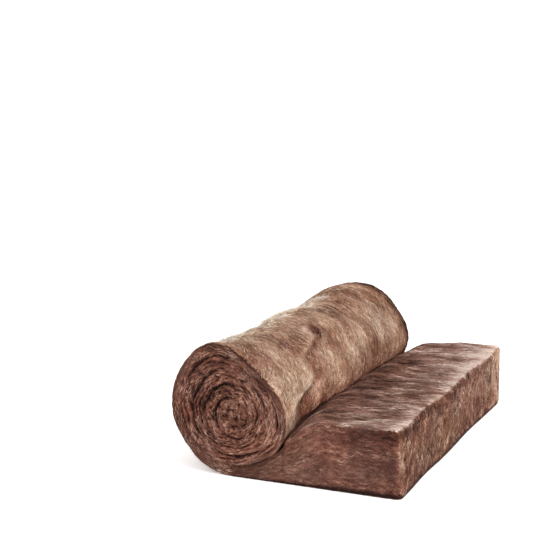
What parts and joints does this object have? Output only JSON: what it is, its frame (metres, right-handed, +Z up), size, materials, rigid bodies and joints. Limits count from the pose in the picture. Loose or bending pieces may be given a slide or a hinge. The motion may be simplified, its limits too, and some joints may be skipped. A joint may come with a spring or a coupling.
{
  "type": "insulation roll",
  "caption": "Wide roll of brown glass mineral wool insulation, partly unrolled: wound turns showing at both ends, and a thick free end lying flat beside the roll.",
  "frame": {"origin": "on the floor, at the middle of the part's length and width", "axes": "+X from the roll towards the free end, +Y along the roll's axis and across the blanket, +Z up"},
  "size_m": [0.7216, 1.14, 0.4024],
  "materials": {
    "glass_wool": "matt brown wool of fine streaked fibres"
  },
  "bodies": {
    "root": {"wool_blanket": "glass_wool"}
  },
  "joints": []
}
